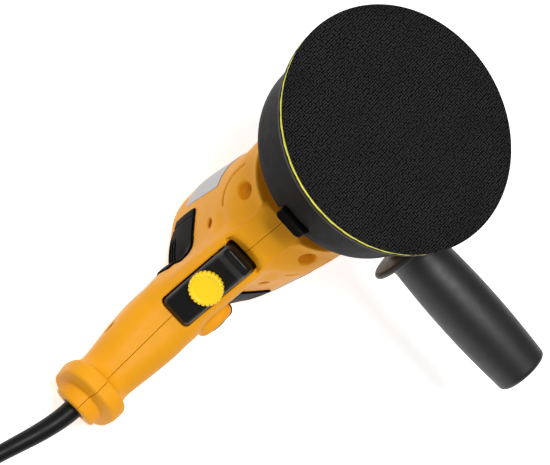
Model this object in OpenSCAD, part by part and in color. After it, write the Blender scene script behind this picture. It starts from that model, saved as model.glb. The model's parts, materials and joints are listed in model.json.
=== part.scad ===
// Corded rotary polisher, lying on the flat back of its head with the pad facing up.
// +Z is the spindle axis and points out of the pad. The rear grip runs towards -X and the side
// handle towards -Y. The origin is where the spindle axis meets the surface the head rests on.

/* [Pad] */
// Diameter of the hook-and-loop pad
pad_d = 150; // [146:1:160]
// Thickness of the yellow foam behind the hook-and-loop disc
foam_t = 3.5; // [3:0.5:5]

/* [Head] */
// Height from the resting face to the face of the pad
head_h = 200; // [198:1:203]
// Outside diameter of the motor barrel
barrel_d = 83; // [82:1:86]
// Wall of the plastic housing
wall = 3; // [2.5:0.1:3.2]

/* [Grip] */
// Distance from the spindle axis to the rear face of the grip
grip_reach = 188; // [184:1:196]
// Width of the rear grip across the seam
grip_w = 38; // [34:1:38]

/* [Side handle] */
// Length of the side handle from its flange to its end
handle_l = 116; // [95:1:125]
// Diameter of the side handle at its fullest point
handle_d = 38.8; // [34:0.2:39]

/* [Cord] */
// Diameter of the cord
cord_d = 7.5; // [7:0.5:8]

/* [Hidden] */
$fn = 72;
seam_gap = 0.05;

// Heights
neck_z = head_h - 58;
hook_t = 2;
plate_t = 6.5;
plate_z = head_h - hook_t - foam_t - plate_t;
shroud_front_z = plate_z - 2;

// Gear train
gear_module = 1;
pinion_teeth = 12;
gear_teeth = 48;
shaft_gap = gear_module * (pinion_teeth + gear_teeth) / 2;
pressure_angle = 20;
backlash = 0.24;

// Head outline seen from the pad
barrel_r = barrel_d / 2;
bulge_r = 26;
bulge_shift = 24;
bulge_top = neck_z - 57;
barrel_top = neck_z - 46;
stator_r = 35.8;
rear_bearing_r = 11;
neck_r = 47;
shoulder_r = 44;
shoulder_z = neck_z - 20;
shoulder_ends = [-16, -2];
cap_t = 6;

// Throat that carries the trigger, turned 45 degrees between the head and the grip
throat_x = -97;
throat_z = neck_z - 65.5;
throat_tilt = -45;
throat_half = 36;
throat_t = 44;
trigger_l = 57;
trigger_w = 22;

// Grip, collar and cord exit
grip_start = [-104, 38];
grip_slope = 8;
grip_h = 35;
collar_l = 11;
collar_h = 45;
collar_w = 44;
collar_z = 32.5;
exit_z = 28;
exit_r = 15;

// Side handle and its sockets
socket_z = neck_z - 22.5;
socket_reach = 57;
socket_flush = 47.5;
socket_depth = 17;
flange_r = 28;
flange_t = 4;
flange_at = 8;
stud_r = 4;
thread_r = 3.4;

// Spindle lock
lock_z = neck_z + 7;

// Lock-on button beside the trigger
lock_on_x = -94;
lock_on_z = 43;

// Screws across the housing: x, z and the depth at which the head sits
housing_screw_places = [
    [-53.5, neck_z - 31.5, 17],
    [-71, neck_z - 65, 11.5],
    [-143.5, 32.5, 12],
    [-30, 11.5, 33],
    [41, neck_z - 12, 13],
];
// Wider mouths over the two upper pairs of screws: x, z and depth
recess_mouths = [[-53.5, neck_z - 31.5, 25], [-69.5, neck_z - 68, 21]];
recess_mouth_r = 5.4;
screw_head_r = 4;
screw_hole_r = 1.8;
boss_r = 4.8;

// Cord
sleeve_l = 56;
sleeve_yaw = 14;
sleeve_tip_r = 4.9;
cord_r = cord_d / 2;
sleeve_root = [-(grip_reach + 9), 0, 24.5];
sleeve_drop = 8;
coil_r = 6 * cord_d;
coil_w = 2.1 * cord_d;
coil_h = 4 * cord_d;
coil_at = [-318, 75];
plug_l = 38;
plug_r = 13.5;
sleeve_tip = sleeve_root + sleeve_l * [
    -cos(sleeve_drop) * cos(sleeve_yaw),
    cos(sleeve_drop) * sin(sleeve_yaw),
    -sin(sleeve_drop)
];
cord_route = [
    [-262, 16, 15],
    [-272, 19, 12],
    [-283, 22, 9],
    [-295, 24, 6.5],
    [-307, 25, 5],
];

// ---------- Shared shapes ----------

module ring(inner, outer, h) {
    difference() {
        cylinder(r = outer, h = h);
        translate([0, 0, -1]) cylinder(r = inner, h = h + 2);
    }
}

module rounded_rect(a, b, r) {
    square([a - 2 * r, b], center = true);
    square([a, b - 2 * r], center = true);
    for (sx = [-1, 1], sy = [-1, 1])
        translate([sx * (a / 2 - r), sy * (b / 2 - r)]) circle(r);
}

module at_motor() {
    translate([-shaft_gap, 0, 0]) children();
}

// Origin in the middle of the trigger opening, +Z out of the throat, +X up towards the head
module at_throat() {
    translate([throat_x, 0, throat_z]) rotate([0, throat_tilt, 0]) children();
}

module across(x, y, z) {
    translate([x, y, z]) rotate([-90, 0, 0]) children();
}

module half_space(side) {
    y0 = side > 0 ? seam_gap / 2 : -100 - seam_gap / 2;
    translate([-260, y0, -20]) cube([380, 100, 260]);
}

// ---------- Gears ----------

function involute(base, turn) =
    base * [cos(turn) + turn * PI / 180 * sin(turn), sin(turn) - turn * PI / 180 * cos(turn)];
function spin(p, a) = [p[0] * cos(a) - p[1] * sin(a), p[0] * sin(a) + p[1] * cos(a)];
function unroll(base, r) = r <= base ? 0 : sqrt(pow(r / base, 2) - 1) * 180 / PI;

// One tooth of a spur gear as a list of points, from the root on one side to the root on the other
function tooth(pitch, base, root, tip, half) =
    let (
        steps = 4,
        t0 = unroll(base, root),
        t1 = unroll(base, tip),
        flank = [for (i = [0:steps]) spin(involute(base, t0 + (t1 - t0) * i / steps), -half)],
        foot = root < base ? [spin([root, 0], -half)] : [],
        side = concat(foot, flank)
    )
    concat(side, [for (i = [len(side) - 1:-1:0]) [side[i][0], -side[i][1]]]);

module spur(teeth, addendum, h) {
    pitch = gear_module * teeth / 2;
    base = pitch * cos(pressure_angle);
    slack = backlash / 2 / pitch * 180 / PI;
    half = 90 / teeth + tan(pressure_angle) * 180 / PI - pressure_angle - slack;
    outline = tooth(pitch, base, pitch - 1.25 * gear_module, pitch + addendum, half);
    linear_extrude(h)
        polygon([for (i = [0:teeth - 1], p = outline) spin(p, i * 360 / teeth)]);
}

// ---------- Pad ----------

module hook_pad() {
    color("black") translate([0, 0, head_h - hook_t]) cylinder(r = pad_d / 2, h = hook_t);
}

module foam_layer() {
    color("khaki") translate([0, 0, plate_z + plate_t]) cylinder(r = pad_d / 2 - 1, h = foam_t);
}

module backing_plate() {
    hub_z = neck_z + 29;
    color("black") difference() {
        union() {
            translate([0, 0, plate_z])
                cylinder(r1 = pad_d / 2 - 6, r2 = pad_d / 2 - 1, h = plate_t);
            translate([0, 0, hub_z]) cylinder(r = 13, h = plate_z - hub_z + 1);
        }
        translate([0, 0, hub_z - 1]) cylinder(r = 7.05, h = 18);
    }
}

// ---------- Shroud and spindle lock ----------

module shroud() {
    h = shroud_front_z - neck_z;
    color("dimgray") difference() {
        translate([0, 0, neck_z]) rotate_extrude() polygon([
            [37, 0.3], [61, 0.3], [63.4, 0.9], [64.2, 2.5], [68, h - 2], [67.2, h - 0.4],
            [66, h], [65, h - 1], [61.3, 5], [59.5, 2.8], [37, 2.8],
        ]);
        translate([-74, -10.5, neck_z - 2]) cube([24, 21, 15.5]);
        shroud_screw_places() translate([0, 0, neck_z - 1]) cylinder(r = 1.7, h = 8);
    }
}

module shroud_screw_places() {
    for (a = [30, 80, 130, 230, 280, 330]) rotate([0, 0, a]) translate([40.2, 0, 0]) children();
}

module shroud_screws() {
    color("silver") shroud_screw_places() {
        translate([0, 0, neck_z + 3]) cylinder(r = 2.7, h = 2);
        translate([0, 0, neck_z - 4.6]) cylinder(r = 1.35, h = 7.7);
    }
}

module spindle_lock_button() {
    color("black") difference() {
        translate([-68, -9.9, neck_z + 0.6]) cube([11.5, 19.8, 12.2]);
        translate([-64, 0, lock_z]) rotate([0, 90, 0]) cylinder(r = 2.45, h = 8);
    }
}

module lock_pin() {
    color("silver") translate([-63.9, 0, lock_z]) rotate([0, 90, 0]) cylinder(r = 2.4, h = 52.4);
}

module lock_spring() {
    coils = 7;
    pitch = 4.4;
    color("silver") for (i = [0:coils - 1])
        translate([-50.5 + i * pitch, 0, lock_z]) rotate([0, 90, 0])
            rotate_extrude() translate([3.45, 0]) circle(0.45, $fn = 16);
}

// ---------- Spindle and gear case ----------

module spindle() {
    color("silver") difference() {
        translate([0, 0, neck_z]) rotate_extrude() polygon([
            [0, -25], [3.6, -25], [4, -24.6], [4, -15.5], [6, -15.2], [6, -4], [8, -4], [8, 3.5],
            [9.5, 3.5], [9.5, 9.8], [8, 9.8], [8, 10.05], [6, 10.05], [6, 20], [9, 20.3], [9, 28.5],
            [7, 28.5], [7, 43], [6, 44], [0, 44],
        ]);
        for (a = [0, 90]) translate([0, 0, lock_z]) rotate([0, 90, a])
            cylinder(r = 2.7, h = 24, center = true);
    }
}

module spindle_gear() {
    color("gray") translate([0, 0, neck_z - 14]) difference() {
        spur(gear_teeth, 0.75, 10);
        translate([0, 0, -1]) cylinder(r = 6.02, h = 12);
    }
}

module bearing(inner, outer, h, balls) {
    mid = (inner + outer) / 2;
    ball_r = (outer - inner) * 0.2;
    difference() {
        ring(inner + 0.02, outer - 0.02, h);
        translate([0, 0, -1]) ring(mid - ball_r, mid + ball_r, 2);
        translate([0, 0, h - 1]) ring(mid - ball_r, mid + ball_r, 2);
    }
}

module spindle_front_bearing() {
    color("silver") translate([0, 0, neck_z + 10.1]) bearing(6, 16, 9.8);
}

module spindle_rear_bearing() {
    color("silver") translate([0, 0, neck_z - 24.9]) bearing(4, 11, 7);
}

module bearing_retainer() {
    color("gray") translate([0, 0, neck_z + 20]) ring(12, 18.9, 1.6);
}

module gear_housing() {
    color("lightgray") difference() {
        union() {
            translate([0, 0, neck_z - 34]) cylinder(r = 18, h = 20);
            translate([0, 0, neck_z - 19]) cylinder(r = 36, h = 19);
            translate([-shaft_gap, 0, neck_z - 34]) cylinder(r = 17, h = 10);
            translate([-shaft_gap, 0, neck_z - 26]) cylinder(r = 13.5, h = 26);
            translate([0, 0, neck_z - 5]) cylinder(r = neck_r - wall - 0.1, h = 5);
            across(0, -socket_reach, socket_z) cylinder(r = 13, h = socket_reach + socket_flush);
        }
        translate([0, 0, neck_z - 16]) cylinder(r = 26.5, h = 17);
        translate([-shaft_gap, 0, neck_z - 16]) cylinder(r = 8.5, h = 17);
        translate([0, 0, neck_z - 25]) cylinder(r = 11, h = 10);
        translate([0, 0, neck_z - 30]) cylinder(r = 7, h = 10);
        translate([-shaft_gap, 0, neck_z - 35]) cylinder(r = 13, h = 9);
        translate([-shaft_gap, 0, neck_z - 35]) cylinder(r = 6.5, h = 30);
        across(0, socket_flush - socket_depth, socket_z) cylinder(r = thread_r, h = 20);
        across(0, socket_depth - socket_reach - 20, socket_z) cylinder(r = thread_r, h = 20);
        gear_cover_screw_places() translate([0, 0, neck_z - 12]) cylinder(r = 2.02, h = 20);
        shroud_screw_notches();
    }
}

// Clears the shroud screws where they pass the rim of the gear case
module shroud_screw_notches() {
    shroud_screw_places() translate([0, 0, neck_z - 12]) cylinder(r = 1.6, h = 14);
}

module gear_cover_screw_places() {
    for (a = [45, 135, 225, 315]) rotate([0, 0, a]) translate([31.5, 0, 0]) children();
}

module gear_cover() {
    color("lightgray") translate([0, 0, neck_z]) difference() {
        union() {
            cylinder(r = 36.3, h = 4);
            cylinder(r = 22, h = 22);
        }
        translate([0, 0, -1]) cylinder(r = 10.5, h = 12);
        translate([0, 0, 10]) cylinder(r = 16, h = 10);
        translate([0, 0, 19.9]) cylinder(r = 19, h = 3);
        translate([-24, 0, lock_z - neck_z]) rotate([0, 90, 0]) cylinder(r = 2.6, h = 15);
        translate([-40, 0, lock_z - neck_z]) rotate([0, 90, 0]) cylinder(r = 4.8, h = 18);
        gear_cover_screw_places() translate([0, 0, -1]) cylinder(r = 2.1, h = 6);
    }
}

module gear_cover_screws() {
    color("silver") gear_cover_screw_places() {
        translate([0, 0, neck_z + 4]) cylinder(r = 3.5, h = 2.4);
        translate([0, 0, neck_z - 11]) cylinder(r = 2, h = 15.5);
    }
}

// ---------- Housing ----------

// Outline of the motor barrel and the bulge behind it, drawn inset by a distance
module head_outline(inset) {
    r1 = barrel_r - inset;
    r2 = bulge_r - inset;
    lean = acos((r1 - r2) / bulge_shift);
    c1 = [-shaft_gap, 0];
    c2 = [-shaft_gap - bulge_shift, 0];
    n = [-cos(lean), sin(lean)];
    translate(c1) circle(r1);
    translate(c2) circle(r2);
    polygon([c1 + r1 * n, c2 + r2 * n, c2 + r2 * [n[0], -n[1]], c1 + r1 * [n[0], -n[1]]]);
}

module ridge() {
    rotate([90, 0, 0]) linear_extrude(28, center = true) polygon([
        [-35, neck_z - 20], [-50, neck_z - 24], [-72, neck_z - 33], [-76, neck_z - 36],
        [-78.5, neck_z - 41], [-79, neck_z - 50], [-60, neck_z - 62], [-35, neck_z - 50],
    ]);
}

module grip_bar(w, h, r, from, to) {
    translate([grip_start[0], 0, grip_start[1]]) rotate([0, -90 - grip_slope, 0])
        translate([0, 0, from]) linear_extrude(to - from) rounded_rect(h, w, r);
}

module exit_boss(r, from, to) {
    translate([-grip_reach, 0, exit_z]) rotate([0, -90 - 15, 0])
        translate([0, 0, from]) cylinder(r = r, h = to - from);
}

// The widening between the motor barrel and the neck
module shoulder(inset) {
    sides = 32;
    hull() {
        at_motor() translate([0, 0, barrel_top - 3]) rotate([0, 0, 180 / sides])
            cylinder(r = barrel_r - inset - 0.4, h = 2, $fn = sides);
        for (x = shoulder_ends) translate([x, 0, shoulder_z - inset - 1]) rotate([0, 0, 180 / sides])
            cylinder(r = shoulder_r - inset, h = 1, $fn = sides);
    }
}

module head_outer() {
    linear_extrude(2) head_outline(3.5);
    translate([0, 0, 2]) linear_extrude(3) head_outline(1.2);
    translate([0, 0, 5]) linear_extrude(bulge_top - 5) head_outline(0);
    at_motor() translate([0, 0, 40]) cylinder(r = barrel_r, h = barrel_top - 40);
    shoulder(0);
    translate([0, 0, shoulder_z - 4]) cylinder(r = neck_r, h = neck_z - shoulder_z + 4);
    ridge();
}

module grip_outer() {
    bar_l = grip_reach - collar_l + grip_start[0] + 3;
    at_throat() translate([throat_half, 0, -throat_t / 2]) rotate([0, -90, 0])
        linear_extrude(2 * throat_half) rounded_rect(throat_t, grip_w, 12);
    grip_bar(grip_w, grip_h, 15, -8, bar_l);
    translate([collar_l - grip_reach + 7, 0, collar_z]) rotate([0, -90, 0])
        linear_extrude(8) rounded_rect(collar_h - 4, collar_w - 4, 16);
    translate([collar_l - grip_reach, 0, collar_z]) rotate([0, -90, 0])
        linear_extrude(collar_l) rounded_rect(collar_h, collar_w, 17);
    exit_boss(exit_r, -6, 7);
    across(lock_on_x, -26, lock_on_z) cylinder(r = 13, h = 15);
}

// Everything inside the housing that stays plastic: screw columns and the seats of the motor
module housing_ribs() {
    for (p = housing_screw_places) across(p[0], -60, p[1]) cylinder(r = boss_r, h = 120);
    at_motor() {
        translate([0, 0, cap_t - 1]) ring(rear_bearing_r + 0.02, rear_bearing_r + 3, 21);
        translate([0, 0, 32]) ring(33.7, barrel_r, 11);
        translate([0, 0, neck_z - 92]) ring(32.5, barrel_r, 4);
        translate([0, 0, neck_z - 88]) ring(stator_r + 0.02, barrel_r, 6);
    }
    translate([-168, -14, 14]) cube([7, 28, 18]);
}

module housing_cavity() {
    translate([0, 0, cap_t]) linear_extrude(bulge_top - cap_t - wall) head_outline(wall + 1.5);
    at_motor() translate([0, 0, bulge_top - wall - 1])
        cylinder(r = barrel_r - wall, h = barrel_top - bulge_top + wall + 1);
    shoulder(wall);
    translate([0, 0, shoulder_z - wall - 2])
        cylinder(r = neck_r - wall, h = neck_z - shoulder_z + wall + 3);
    at_throat() translate([26, 0, -throat_t / 2]) rotate([0, -90, 0])
        linear_extrude(26 + throat_half) rounded_rect(throat_t - 2 * wall, grip_w - 2 * wall, 9);
    grip_bar(grip_w - 2 * wall, grip_h - 2 * wall, 12, -8, 72);
    translate([collar_l - grip_reach + 6, 0, collar_z]) rotate([0, -90, 0])
        linear_extrude(11) rounded_rect(26, 28, 6);
    exit_boss(7.6, -12, 12);
}

module trigger_opening() {
    at_throat() translate([0, 0, -1]) cube([trigger_l + 1, trigger_w + 1, 18], center = true);
}

module vent_zone(side, grow) {
    y0 = side > 0 ? 0 : -60;
    translate([-95, y0, 8 - grow]) cube([42 + grow, 60, 39 + 2 * grow]);
}

module vent_slots(side, x, length) {
    for (i = [0:2]) translate([x, side * 40 - 30, 11 + i * 4]) cube([length, 60, 1.6]);
}

module label_zone(side) {
    y0 = side > 0 ? 0 : -60;
    translate([-48, y0, 26]) cube([34, 60, 52]);
}

module skin(outer_inset, inner_inset) {
    linear_extrude(120) difference() {
        head_outline(outer_inset);
        head_outline(inner_inset);
    }
}

module housing_half(side) {
    difference() {
        intersection() {
            union() {
                head_outer();
                grip_outer();
            }
            half_space(side);
        }
        difference() {
            housing_cavity();
            housing_ribs();
        }
        trigger_opening();
        intersection() {
            skin(-2, 1.2);
            vent_zone(side, 0.2);
        }
        intersection() {
            skin(-2, 0.5);
            label_zone(side);
        }
        across(0, -80, socket_z) cylinder(r = 13.2, h = 160);
        across(lock_on_x, -30, lock_on_z) cylinder(r = 6.8, h = 20);
        vent_slots(side, -74, 14);
        housing_screw_recesses();
        for (y = [-8, 8]) translate([-164.5, y, 20]) cylinder(r = 1.52, h = 14);
    }
}

module housing_screw_recesses() {
    for (p = housing_screw_places) {
        across(p[0], p[2], p[1]) cylinder(r = screw_head_r, h = 60);
        across(p[0], -p[2] - 60, p[1]) cylinder(r = screw_head_r, h = 60);
        across(p[0], -p[2] + 4, p[1]) cylinder(r = screw_hole_r, h = 2 * p[2]);
    }
    for (m = recess_mouths, y = [m[2], -m[2] - 60])
        across(m[0], y, m[1]) cylinder(r = recess_mouth_r, h = 60);
}

module housing_right() {
    color("orange") housing_half(1);
}

module housing_left() {
    color("orange") housing_half(-1);
}

module housing_screws() {
    color("silver") for (p = housing_screw_places) {
        across(p[0], p[2] + 0.02, p[1]) cylinder(r = 3.6, h = 2.4);
        across(p[0], 8 - p[2], p[1]) cylinder(r = 1.7, h = 2 * p[2] - 7);
    }
}

module vent_cover(side) {
    color("black") difference() {
        intersection() {
            skin(-1.4, 1.0);
            vent_zone(side, 0);
        }
        vent_slots(side, -90, 30);
    }
}

module vent_cover_right() {
    vent_cover(1);
}

module vent_cover_left() {
    vent_cover(-1);
}

module label_plate(side) {
    color("silver") intersection() {
        skin(0, 0.45);
        translate([0.3, 0, 0.3]) label_zone(side);
        translate([-0.3, 0, -0.3]) label_zone(side);
    }
}

module label_plate_right() {
    label_plate(1);
}

module label_plate_left() {
    label_plate(-1);
}

// ---------- Motor ----------

module armature_shaft() {
    color("silver") at_motor() translate([0, 0, neck_z]) rotate_extrude() polygon([
        [0, -125], [4, -125], [4, -112], [5, -112], [5, -24.2], [4, -24], [4, -16.5],
        [3, -16.3], [3, -2], [0, -2],
    ]);
}

module pinion() {
    color("gray") at_motor() translate([0, 0, neck_z - 15]) difference() {
        rotate([0, 0, 180 / pinion_teeth]) spur(pinion_teeth, 0.85, 12);
        translate([0, 0, -1]) cylinder(r = 3.02, h = 14);
    }
}

module cooling_fan() {
    color("black") at_motor() translate([0, 0, neck_z - 46]) {
        ring(5.03, 34, 1.6);
        ring(5.03, 9, 8.4);
        for (i = [0:10]) rotate([0, 0, i * 360 / 11])
            translate([8, -0.8, 0]) cube([25.5, 1.6, 8.4]);
    }
}

module armature_core() {
    slots = 12;
    color("gray") at_motor() translate([0, 0, neck_z - 88]) difference() {
        ring(5.03, 19, 38);
        for (i = [0:slots - 1]) rotate([0, 0, i * 360 / slots])
            translate([14, -1.2, -1]) cube([8, 2.4, 40]);
    }
}

module armature_windings() {
    color("chocolate") at_motor() {
        translate([0, 0, neck_z - 96.5]) ring(5.03, 15.5, 8.4);
        translate([0, 0, neck_z - 49.9]) ring(5.03, 13.8, 3.6);
    }
}

module commutator() {
    bars = 24;
    color("chocolate") at_motor() translate([0, 0, neck_z - 111]) difference() {
        ring(5.03, 11, 13.5);
        for (i = [0:bars - 1]) rotate([0, 0, i * 360 / bars])
            translate([10.2, -0.25, -1]) cube([2, 0.5, 16]);
    }
}

module motor_front_bearing() {
    color("silver") at_motor() translate([0, 0, neck_z - 34]) bearing(5, 13, 8);
}

module motor_rear_bearing() {
    color("silver") at_motor() translate([0, 0, neck_z - 123]) bearing(4, 11, 7);
}

module stator_core() {
    color("gray") at_motor() translate([0, 0, neck_z - 88]) difference() {
        cylinder(r = stator_r, h = 38);
        translate([0, 0, -1]) cylinder(r = 20, h = 40);
        for (side = [-1, 1]) coil_pocket(side, 0, 40);
    }
}

// The space between the stator bore and its back iron that a field coil fills
module coil_pocket(side, inset, h) {
    translate([0, 0, -1]) intersection() {
        ring(19 + inset, 31 - inset, h);
        translate([-13 + inset, side > 0 ? 5 : -45, -5]) cube([26 - 2 * inset, 40, h + 10]);
    }
}

module field_coils() {
    color("chocolate") at_motor() translate([0, 0, neck_z - 92]) difference() {
        for (side = [-1, 1]) coil_pocket(side, 0.1, 46);
        translate([0, 0, -2]) cylinder(r = 20.2, h = 50);
    }
}

module brush_places() {
    for (side = [-1, 1]) at_motor() translate([0, 0, neck_z - 104.5]) rotate([side * -90, 0, 0])
        children();
}

module brush_holders() {
    color("goldenrod") brush_places() difference() {
        translate([0, 0, 23]) cube([12, 9, 20], center = true);
        translate([0, 0, 22]) cube([8.2, 5.2, 23], center = true);
    }
}

module carbon_brushes() {
    color("dimgray") brush_places() translate([0, 0, 11.1]) translate([-4, -2.5, 0]) cube([8, 5, 10]);
}

module brush_springs() {
    color("silver") brush_places() for (i = [0:4])
        translate([0, 0, 21.8 + i * 2]) rotate_extrude() translate([1.7, 0]) circle(0.35, $fn = 16);
}

// ---------- Trigger, switch and controls ----------

module trigger() {
    half = trigger_l / 2;
    color("black") at_throat() difference() {
        union() {
            rotate([90, 0, 0]) linear_extrude(trigger_w - 0.4, center = true) polygon([
                [-half, -4], [half, -4], [half, 3.5], [half - 2, 6], [half - 6, 6.4],
                [half - 12, 4.6], [9, 4.2], [-9, 4.2], [-14, 4.8], [3 - half, 4.8], [-half, 2.5],
            ]);
            translate([-17, -4, -16]) cube([10, 8, 13]);
        }
        translate([0, 0, -1]) cylinder(r = 3.1, h = 12);
    }
}

module speed_dial() {
    scallops = 24;
    color("gold") at_throat() difference() {
        union() {
            translate([0, 0, 5]) cylinder(r = 10.7, h = 5);
            cylinder(r = 3, h = 6);
        }
        for (i = [0:scallops - 1]) rotate([0, 0, i * 360 / scallops])
            translate([11.2, 0, 4]) cylinder(r = 1, h = 7, $fn = 24);
    }
}

module switch_body() {
    color("black") at_throat() difference() {
        translate([-31, -11, -31]) cube([35, 22, 17]);
        translate([-17.4, -4.4, -26]) cube([10.8, 8.8, 20]);
    }
}

module noise_capacitor() {
    color("royalblue") translate([-138, -6.5, 24]) cube([20, 13, 18]);
}

module lock_on_button() {
    color("black") difference() {
        across(lock_on_x, -27.2, lock_on_z) cylinder(r = 6.5, h = 9.7);
        across(lock_on_x, -28, lock_on_z) ring(4.6, 5.2, 1.4);
    }
}

// ---------- Side handle ----------

module side_handle_grip() {
    r = handle_d / 2;
    end = handle_l;
    flange_top = flange_at + flange_t;
    color("black") translate([0, -socket_reach - 0.3, socket_z]) rotate([90, 0, 0]) difference() {
        rotate_extrude() polygon([
            [0, 0], [13.5, 0], [14.5, flange_at - 1], [flange_r - 1.5, flange_at],
            [flange_r, flange_at + 1.4], [flange_r, flange_top - 1], [flange_r - 1.2, flange_top],
            [r - 0.5, flange_top + 1.6],
            for (i = [0:8]) [r - 1.8 * pow((i - 4) / 4, 2), flange_top + 5 + (end - flange_top - 11) * i / 8],
            [r - 2.6, end - 4], [r - 4.4, end - 1.8], [r * 0.5, end - 0.4], [0, end],
        ]);
        translate([0, 0, -1]) cylinder(r = stud_r + 0.02, h = 41);
    }
}

module side_handle_stud() {
    color("silver") translate([0, 0, socket_z]) rotate([90, 0, 0]) {
        translate([0, 0, socket_reach - 14]) cylinder(r = thread_r - 0.03, h = 14.4);
        translate([0, 0, socket_reach + 0.35]) cylinder(r = stud_r, h = 38);
    }
}

// ---------- Cord ----------

module at_sleeve() {
    translate(sleeve_root) rotate([0, 0, -sleeve_yaw]) rotate([0, -90 - sleeve_drop, 0]) children();
}

module strain_relief() {
    color("black") difference() {
        union() {
            at_sleeve() cylinder(r1 = 7, r2 = sleeve_tip_r, h = sleeve_l);
            exit_boss(7.4, -8, 10.5);
            exit_boss(10.5, -15, -12.2);
            exit_boss(7.4, -13, -7);
        }
        at_sleeve() translate([0, 0, sleeve_l - 6]) cylinder(r = cord_r + 0.02, h = 12);
    }
}

module cord_clamp() {
    color("dimgray") translate([-168, -12, 32]) difference() {
        cube([7, 24, 5]);
        for (y = [4, 20]) translate([3.5, y, -1]) cylinder(r = 1.6, h = 8);
    }
}

module cord_clamp_screws() {
    color("silver") for (y = [-8, 8]) {
        translate([-164.5, y, 37]) cylinder(r = 2.8, h = 2);
        translate([-164.5, y, 27]) cylinder(r = 1.5, h = 10.5);
    }
}

function unit(v) = v / norm(v);

// Round tube swept along points, with flat ends square to the first and last stretch
module tube(path, r, sides) {
    n = len(path);
    directions = [for (i = [0:n - 1]) unit(path[min(i + 1, n - 1)] - path[max(i - 1, 0)])];
    rings = [
        for (i = [0:n - 1])
            let (across = unit(cross(directions[i], [0, 0, 1])), up = cross(across, directions[i]))
            for (k = [0:sides - 1])
                path[i] + r * (cos(360 * k / sides) * across + sin(360 * k / sides) * up)
    ];
    walls = [
        for (i = [0:n - 2], k = [0:sides - 1])
            let (j = (k + 1) % sides)
            [i * sides + k, i * sides + j, (i + 1) * sides + j, (i + 1) * sides + k]
    ];
    near = [for (k = [sides - 1:-1:0]) k];
    far = [for (k = [0:sides - 1]) (n - 1) * sides + k];
    polyhedron(rings, concat([near], walls, [far]), convexity = 6);
}

module power_cord() {
    out = unit(sleeve_tip - sleeve_root);
    color("black") tube(concat([sleeve_tip - 5 * out, sleeve_tip + 3 * out], cord_route), cord_r, 12);
}

module cord_coil() {
    color("black") translate([coil_at[0], coil_at[1], 0.2]) ring(
        coil_r - coil_w / 2, coil_r + coil_w / 2, coil_h
    );
}

// Origin in the middle of the back of the plug, which lies across the top of the coil; +Z to its pins
module at_plug() {
    translate([coil_at[0] + coil_r, coil_at[1] + plug_l / 2, coil_h + 0.4 + plug_r])
        rotate([90, 0, 0]) children();
}

module plug_body() {
    color("black") at_plug() cylinder(r1 = plug_r - 3, r2 = plug_r, h = plug_l);
}

module plug_pins() {
    color("silver") at_plug() for (x = [-9.5, 9.5])
        translate([x, 0, plug_l + 0.1]) cylinder(r = 2.4, h = 19);
}

hook_pad();
foam_layer();
backing_plate();
shroud();
shroud_screws();
spindle_lock_button();
lock_pin();
lock_spring();
spindle();
spindle_gear();
spindle_front_bearing();
spindle_rear_bearing();
bearing_retainer();
gear_housing();
gear_cover();
gear_cover_screws();
housing_right();
housing_left();
housing_screws();
vent_cover_right();
vent_cover_left();
label_plate_right();
label_plate_left();
armature_shaft();
armature_core();
armature_windings();
commutator();
pinion();
cooling_fan();
motor_front_bearing();
motor_rear_bearing();
stator_core();
field_coils();
brush_holders();
carbon_brushes();
brush_springs();
trigger();
speed_dial();
switch_body();
noise_capacitor();
lock_on_button();
side_handle_grip();
side_handle_stud();
strain_relief();
cord_clamp();
cord_clamp_screws();
power_cord();
cord_coil();
plug_body();
plug_pins();
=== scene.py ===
"""A corded rotary polisher lying on the flat back of its head, with its pad facing up."""

import json
import math

import bmesh
import bpy
import numpy as np
from mathutils import Matrix, Vector


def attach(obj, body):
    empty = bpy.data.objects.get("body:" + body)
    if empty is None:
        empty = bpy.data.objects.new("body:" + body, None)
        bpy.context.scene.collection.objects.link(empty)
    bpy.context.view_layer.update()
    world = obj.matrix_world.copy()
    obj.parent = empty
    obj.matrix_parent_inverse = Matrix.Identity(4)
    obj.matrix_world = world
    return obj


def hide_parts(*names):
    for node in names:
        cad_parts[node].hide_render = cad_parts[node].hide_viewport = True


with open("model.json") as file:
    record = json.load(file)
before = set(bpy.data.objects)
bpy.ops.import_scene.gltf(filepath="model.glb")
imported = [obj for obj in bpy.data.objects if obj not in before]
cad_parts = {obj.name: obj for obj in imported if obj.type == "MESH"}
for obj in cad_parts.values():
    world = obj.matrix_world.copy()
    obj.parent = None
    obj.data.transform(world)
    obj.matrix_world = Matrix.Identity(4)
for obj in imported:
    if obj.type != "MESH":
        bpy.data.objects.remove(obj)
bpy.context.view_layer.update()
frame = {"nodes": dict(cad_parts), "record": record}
MM = 0.001

# ---------------------------------------------------------------- camera

CAMERA_AT = (-0.6201, 0.14859, 1.14729)
CAMERA_TURN = (15.331, -25.306, -47.713)
CAMERA_LENS = 130.9


def make_camera():
    data = bpy.data.cameras.new("camera")
    data.lens = CAMERA_LENS
    data.sensor_width = 36
    data.clip_start = 0.05
    data.clip_end = 20
    camera = bpy.data.objects.new("camera", data)
    bpy.context.scene.collection.objects.link(camera)
    camera.location = CAMERA_AT
    camera.rotation_euler = [math.radians(a) for a in CAMERA_TURN]
    bpy.context.scene.camera = camera


# ---------------------------------------------------------------- measures shared with the CAD, in mm

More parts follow.
